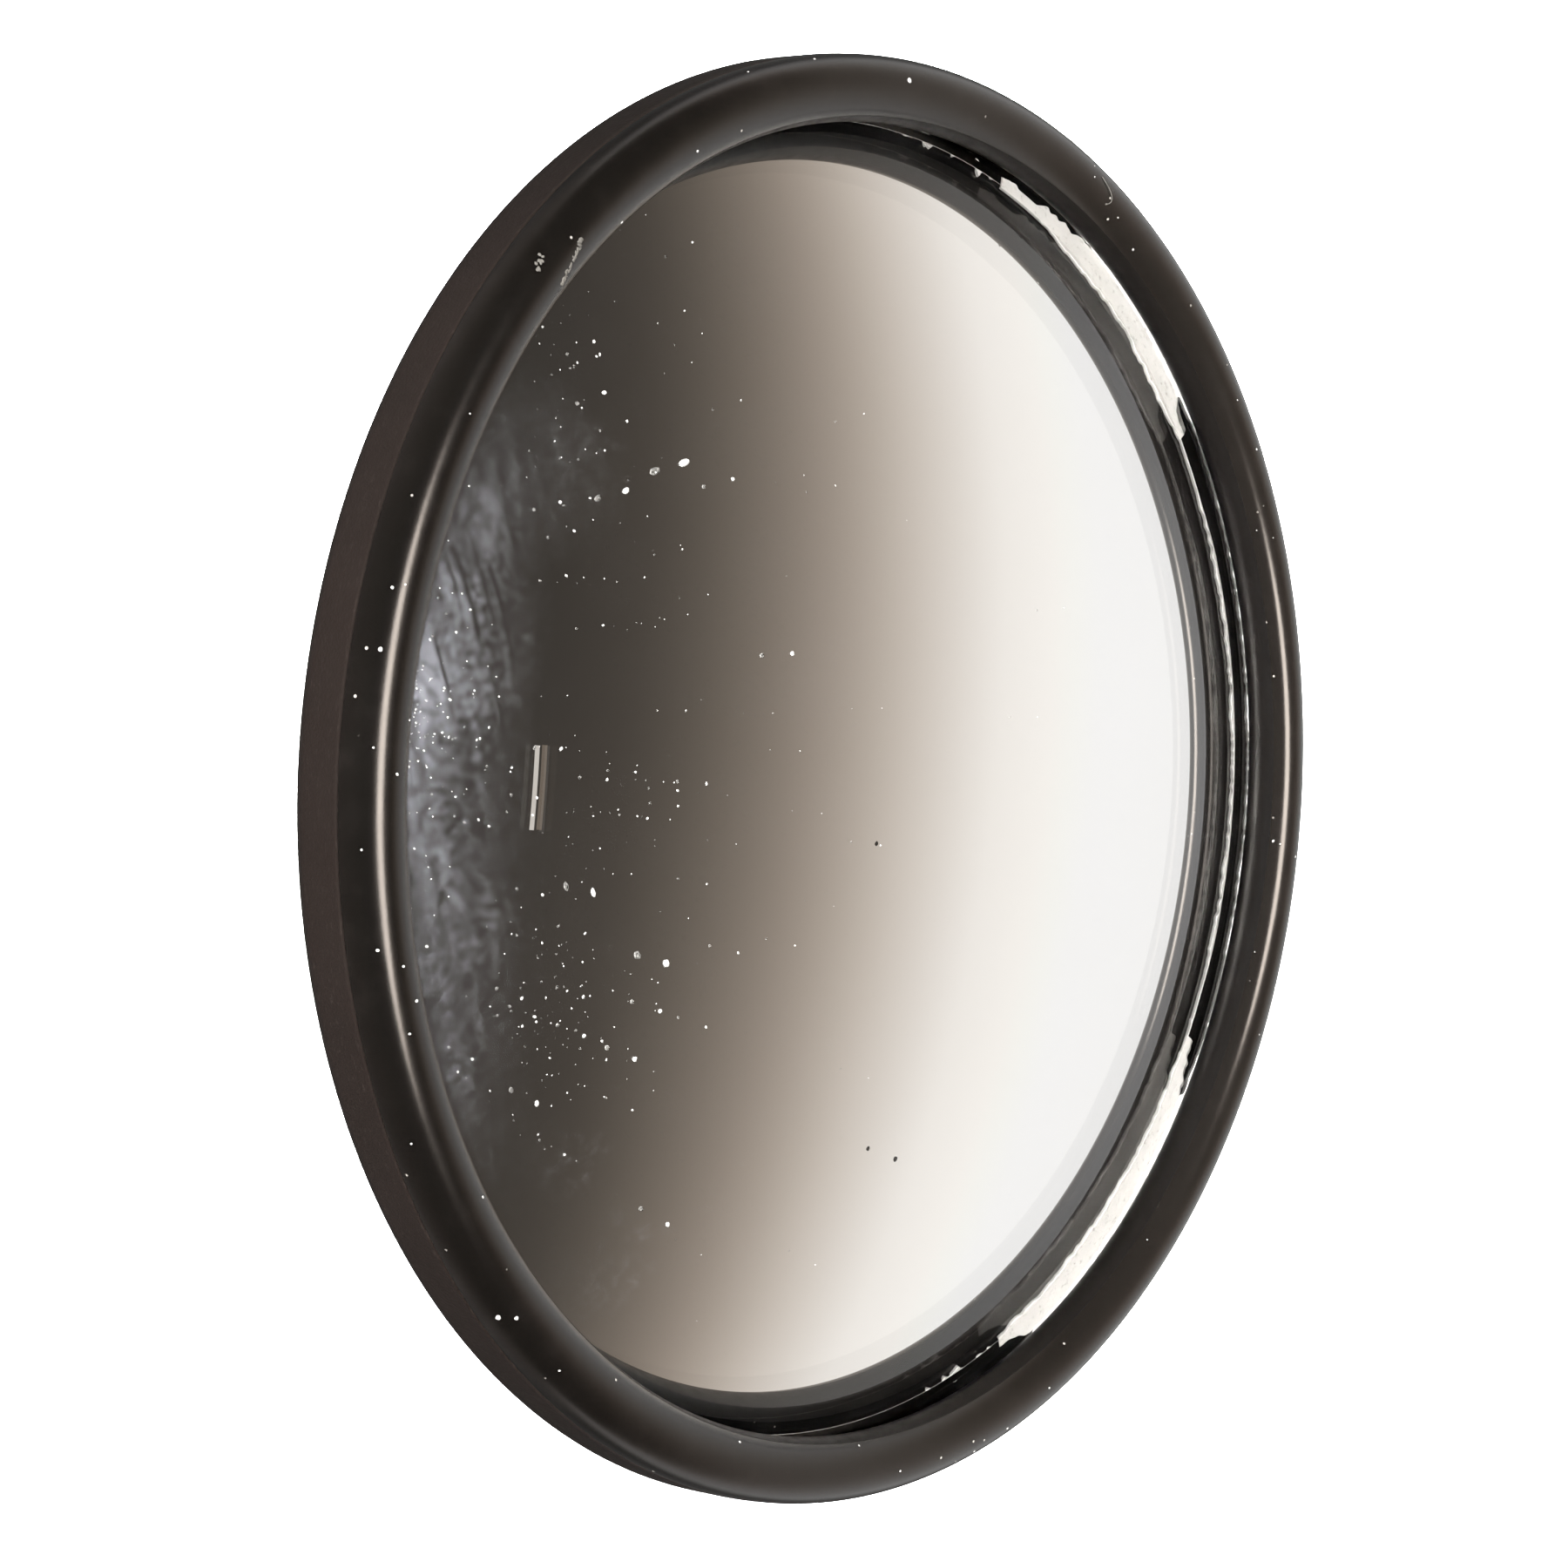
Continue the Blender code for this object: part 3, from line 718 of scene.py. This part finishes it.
# Single grains on the bead: angle round the rim, angle round its section, radius (mm)
BEAD_GRAINS = ((217.6, 38, 0.13), (218.4, 61, 0.10), (92.4, 80.6, 0.14), (168.0, 50, 0.10))
# Debris on the bead: two ends of a smear as angles round the rim and round its section, grains
BEAD_DEBRIS = (((133.2, 92), (137.0, 120), 46), ((136.6, 58), (138.2, 66), 14))
# Spots at the silver: x, z, radius (mm)
SILVER_SPOTS = ((-5.2, -2.7, 0.12), (-4.2, -19.0, 0.12), (-1.9, -19.9, 0.15))


def surface_dust(finish):
    rng = random.Random(11)
    shape = bmesh.new()
    for x0, z0, wide, tall, count, largest in DUST_PATCHES:
        for _ in range(count):
            x, z = rng.gauss(x0, wide) * MM, rng.gauss(z0, tall) * MM
            size = largest * rng.uniform(0.35, 1.0) ** 1.6 * MM
            if math.hypot(x, z) > LIP_RADIUS - 0.6 * MM:
                continue
            point, normal = on_glass(x, z)
            blob(shape, point + normal * size * 0.3, normal, size, 0.6, rng, rng.uniform(0.9, 1.5))
    for x, z, size, stretch in GRAINS:
        point, normal = on_glass(x * MM, z * MM)
        blob(shape, point + normal * size * 0.4 * MM, normal, size * MM, 0.7, rng, stretch)
    for angle, around, size in BEAD_GRAINS:
        point, normal = on_bead(angle, around)
        blob(shape, point, normal, size * MM, 0.7, rng)
    for _ in range(BEAD_SPECKS):
        point, normal = on_bead(rng.uniform(0, 360), rng.uniform(20, 150))
        size = rng.uniform(0.03, 0.07) * MM
        blob(shape, point, normal, size, 0.6, rng, rng.uniform(1.0, 1.6))
    return mesh_piece("surface_dust", shape, finish)


def bead_debris(finish):
    rng = random.Random(3)
    shape = bmesh.new()
    for (a0, s0), (a1, s1), count in BEAD_DEBRIS:
        for _ in range(count):
            t = rng.random()
            angle = a0 + (a1 - a0) * t + rng.gauss(0, 0.14)
            around = s0 + (s1 - s0) * t + rng.gauss(0, 2.2)
            point, normal = on_bead(angle, around)
            blob(shape, point, normal, rng.uniform(0.02, 0.085) * MM, 0.5, rng, rng.uniform(1.0, 2.2))
    return mesh_piece("bead_debris", shape, finish)


def silver_spots(finish):
    """Small dark spots just in front of the silver."""
    rng = random.Random(5)
    shape = bmesh.new()
    for x, z, size in SILVER_SPOTS:
        _, normal = on_glass(x * MM, z * MM)
        centre = Vector((0, -GLASS_CENTRE, 0)) + normal * (GLASS_CURVE - GLASS_THICKNESS + 0.035 * MM)
        blob(shape, centre, normal, size * MM, 0.08, rng)
    return mesh_piece("silver_spots", shape, finish)


def lint_fibre(finish):
    """A short curved hair lying on the bead."""
    path, last, sides = [], 12, 8
    for i in range(last + 1):
        t = i / last
        lift = (0.03 + 0.05 * math.sin(t * math.pi)) * MM
        path.append(on_bead(65.4 - 2.0 * math.sin(t * 2.2), 76 + 38 * t, lift)[0])
    shape = bmesh.new()
    rings = []
    for i, point in enumerate(path):
        ahead = (path[min(i + 1, last)] - path[max(i - 1, 0)]).normalized()
        side = ahead.orthogonal().normalized()
        other = ahead.cross(side)
        radius = (0.024 + (0.03 if i == last else 0.0)) * MM  # a knot at its end
        ring = []
        for k in range(sides):
            a = k * math.tau / sides
            ring.append(shape.verts.new(point + (side * math.cos(a) + other * math.sin(a)) * radius))
        rings.append(ring)
    for near, far in zip(rings, rings[1:]):
        for k in range(sides):
            after = (k + 1) % sides
            shape.faces.new((near[k], near[after], far[after], far[k]))
    shape.faces.new(list(reversed(rings[0])))
    shape.faces.new(rings[-1])
    return mesh_piece("lint_fibre", shape, finish)


def fine_disc(name, radius, bottom, top, finish, node):
    edge = min(0.06 * MM, (top - bottom) / 3)
    section = [(0, bottom), (radius - edge, bottom), (radius, bottom + edge)]
    section += [(radius, top - edge), (radius - edge, top), (0, top)]
    return turned(name, section, finish, (node,), closed=False)


# ---------------------------------------------------------------- stage, light, camera


def direction(azimuth, elevation):
    """Azimuth 0 points to -Y, the way the mirror faces, and 90 to +X."""
    a, e = math.radians(azimuth), math.radians(elevation)
    return Vector((math.sin(a) * math.cos(e), -math.cos(a) * math.cos(e), math.sin(e)))


def pale_stage():
    """A pale floor that sweeps up into a backdrop all round."""
    floor, inner, outer, sides = -0.075, 0.9, 1.5, 64
    profile = [(0, floor), (inner, floor)]
    for i in range(1, 13):
        a = math.pi / 2 * i / 12
        sweep = outer - inner
        profile.append((inner + sweep * math.sin(a), floor + sweep * (1 - math.cos(a))))
    profile.append((outer, 3.0))
    verts, faces = [], []
    for d, h in profile:
        for j in range(sides):
            a = math.tau * j / sides
            verts.append((d * math.cos(a), d * math.sin(a), h))
    for i in range(len(profile) - 1):
        near, far = i * sides, (i + 1) * sides
        for j in range(sides):
            k = (j + 1) % sides
            faces.append((near + j, near + k, far + k, far + j))
    mesh = bpy.data.meshes.new("pale_floor")
    mesh.from_pydata(verts, [], faces)
    mesh.shade_smooth()
    f = Finish("pale_floor")
    f.set(Base_Color=(0.9, 0.9, 0.9), Roughness=0.9)
    f.set(Emission_Color=(1.0, 1.0, 1.0), Emission_Strength=0.9)
    mesh.materials.append(f.material)
    stage = bpy.data.objects.new("pale_floor", mesh)
    bpy.context.scene.collection.objects.link(stage)
    stage.visible_glossy = False
    stage.visible_transmission = False
    stage.visible_diffuse = False
    stage.visible_shadow = False


BEHIND_DIMMED = 0.85  # glossy surfaces see little light from behind, at the right
SIDE_GLOW = 20.0  # soft light from the left that only matt surfaces pick up
GLOW_FROM = (-65, 12)  # its azimuth and elevation

# The bright side's edge moves with the elevation: a shift, a lean and a bow
EDGE_SHIFT = 1.7
EDGE_LEAN = 0.18
EDGE_BOW = 0.0046 * 180 / math.pi

# Surroundings by azimuth: degrees, then linear colour
SURROUNDINGS = (
    (-180, (0.50, 0.46, 0.44)), (-140, (0.26, 0.235, 0.22)), (-110, (0.17, 0.15, 0.14)),
    (-80, (0.09, 0.08, 0.07)), (-60, (0.050, 0.046, 0.041)), (10, (0.037, 0.0335, 0.030)),
    (22, (0.057, 0.049, 0.042)), (30, (0.150, 0.128, 0.106)), (38, (0.34, 0.288, 0.242)),
    (46, (0.64, 0.575, 0.51)), (55, (0.96, 0.93, 0.89)), (75, (1.14, 1.13, 1.10)),
    (110, (1.10, 1.09, 1.06)), (180, (0.50, 0.46, 0.44)),
)


def surroundings():
    """A dark room with a bright side. Matt surfaces also get a soft glow from the left."""
    world = bpy.data.worlds.new("studio")
    bpy.context.scene.world = world
    world.use_nodes = True
    world.node_tree.nodes.clear()
    sky = Nodes(world.node_tree)
    place = sky.node("ShaderNodeTexCoord").outputs["Generated"]
    split = sky.node("ShaderNodeSeparateXYZ")
    sky.feed(split.inputs[0], place)
    right, back, up = split.outputs
    turn = sky.math("ARCTAN2", right, sky.math("MULTIPLY", back, -1.0))
    height = sky.math("ARCSINE", up)
    lean = sky.math("MULTIPLY_ADD", height, EDGE_BOW, EDGE_LEAN)
    shift = sky.math("MULTIPLY_ADD", height, lean, math.radians(EDGE_SHIFT))
    ramp = sky.node("ShaderNodeValToRGB")
    ramp.color_ramp.interpolation = "B_SPLINE"
    stops = ramp.color_ramp.elements
    while len(stops) < len(SURROUNDINGS):
        stops.new(0.5)
    for stop, (azimuth, colour) in zip(stops, SURROUNDINGS):
        stop.position = (azimuth + 180) / 360
        stop.color = (*colour, 1.0)
    sky.feed(ramp.inputs[0], sky.range(sky.math("SUBTRACT", turn, shift), -math.pi, math.pi))
    path = sky.node("ShaderNodeLightPath")
    toward = sky.node("ShaderNodeVectorMath", operation="DOT_PRODUCT")
    sky.feed(toward.inputs[0], place)
    toward.inputs[1].default_value = direction(*GLOW_FROM)
    depth = path.outputs["Diffuse Depth"]
    soft = sky.math("MULTIPLY", toward.outputs["Value"], depth, clamp=True)
    side = sky.node("ShaderNodeBackground")
    side.inputs["Color"].default_value = (1, 1, 1, 1)
    sky.feed(side.inputs["Strength"], sky.math("MULTIPLY", soft, SIDE_GLOW))
    corner = sky.math("MULTIPLY", sky.range(back, 0.10, 0.32), sky.range(right, -0.25, 0.15))
    shaded = sky.range(sky.math("MINIMUM", depth, 1.0), 0.0, 1.0, BEHIND_DIMMED, 0.0)
    around = sky.node("ShaderNodeBackground")
    sky.feed(around.inputs["Color"], ramp.outputs[0])
    sky.feed(around.inputs["Strength"], sky.math("SUBTRACT", 1.0, sky.math("MULTIPLY", corner, shaded)))
    both = sky.node("ShaderNodeAddShader")
    sky.feed(both.inputs[0], around.outputs[0])
    sky.feed(both.inputs[1], side.outputs[0])
    seen = sky.node("ShaderNodeBackground")
    choose = sky.node("ShaderNodeMixShader")
    sky.feed(choose.inputs[0], path.outputs["Is Camera Ray"])
    sky.feed(choose.inputs[1], both.outputs[0])
    sky.feed(choose.inputs[2], seen.outputs[0])
    sky.feed(sky.node("ShaderNodeOutputWorld").inputs["Surface"], choose.outputs[0])


def panel(name, azimuth, elevation, away, size, radiance, colour=(1, 1, 1), lean=0.0, shape="RECTANGLE"):
    """A soft flat light of a given size and brightness that faces the mirror."""
    wide, tall = size
    data = bpy.data.lights.new(name, "AREA")
    data.shape = shape
    data.size, data.size_y = wide, tall
    data.energy = radiance * math.pi * wide * tall
    data.color = colour
    light = bpy.data.objects.new(name, data)
    light.location = RING_CENTRE + direction(azimuth, elevation) * away
    light.rotation_mode = "QUATERNION"
    turn = direction(azimuth, elevation).to_track_quat("Z", "Y")
    light.rotation_quaternion = turn @ Quaternion((0, 0, 1), math.radians(lean))
    light.visible_camera = False
    bpy.context.scene.collection.objects.link(light)
    return light


def camera():
    data = bpy.data.cameras.new("camera")
    data.lens = LENS
    data.sensor_width = 36
    data.clip_start, data.clip_end = 0.001, 20
    made = bpy.data.objects.new("camera", data)
    back = direction(CAMERA_AZIMUTH, CAMERA_ELEVATION)
    made.location = RING_CENTRE + back * CAMERA_DISTANCE
    ahead = Matrix.Rotation(math.radians(CAMERA_PAN), 3, "Z") @ -back
    made.rotation_mode = "QUATERNION"
    made.rotation_quaternion = ahead.to_track_quat("-Z", "Y")
    bpy.context.scene.collection.objects.link(made)
    bpy.context.scene.camera = made


def finish_cad_nodes(finishes):
    for node, finish in finishes.items():
        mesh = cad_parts[node].data
        mesh.materials.clear()
        mesh.materials.append(finish)


def build():
    bead, housing = bead_finish(), housing_finish()
    sealant, dust = sealant_finish(), dust_finish()
    bedding = foam_finish("bedding_foam_grey", (0.05, 0.05, 0.05), (0.11, 0.11, 0.11), 0.5)
    foam = foam_finish("pad_foam_black", (0.012, 0.011, 0.011), (0.04, 0.038, 0.036), 0.28)
    film, silicone = film_finish(), silicone_finish()
    rim_bead(bead)
    rim_inner_face(inner_face_finish())
    housing_shell(housing)
    housing_ribs(housing)
    glass_lens(glass_finish())
    silver_layer(silver_finish())
    sealant_ring(sealant)
    sealant_edge(sealant)
    surface_dust(dust)
    silver_spots(bead)
    lint = lint_finish()
    bead_debris(lint)
    lint_fibre(lint)
    fine_disc("pad_film_outer", PAD_RADIUS, 0, 0.15 * MM, film, "mount_adhesive_film")
    fine_disc("pad_foam", PAD_RADIUS, 0.3 * MM, 1.05 * MM, foam, "mount_foam_pad")
    fine_disc("pad_film_inner", PAD_RADIUS, 1.2 * MM, 1.35 * MM, film, "housing_adhesive_film")
    finish_cad_nodes({
        "backing_paint": paint_finish(),
        "glass_bedding_ring": bedding,
        "centre_adhesive_pad": bedding,
        "adhesive_dab_1": silicone,
        "adhesive_dab_2": silicone,
        "adhesive_dab_3": silicone,
    })
    pale_stage()
    surroundings()
    panel("strip_light", -6, -0.8, 1.2, (0.38, 0.93), 16.5, (1.0, 0.97, 0.93), 0, "ELLIPSE")
    panel("lamp_tube", 15.6, -3.0, 1.0, (0.006, 0.092), 0.62, (1.0, 0.95, 0.88), -4.7)
    panel("lamp_shade", 16.15, -3.0, 1.0, (0.007, 0.092), 0.12, (1.0, 0.80, 0.62), -4.7)
    fill = panel("fill_light", -50, 20, 1.6, (1.2, 1.2), 1.0)
    fill.visible_glossy = False
    fill.visible_transmission = False
    camera()
    bpy.context.scene.view_settings.view_transform = "Standard"


build()
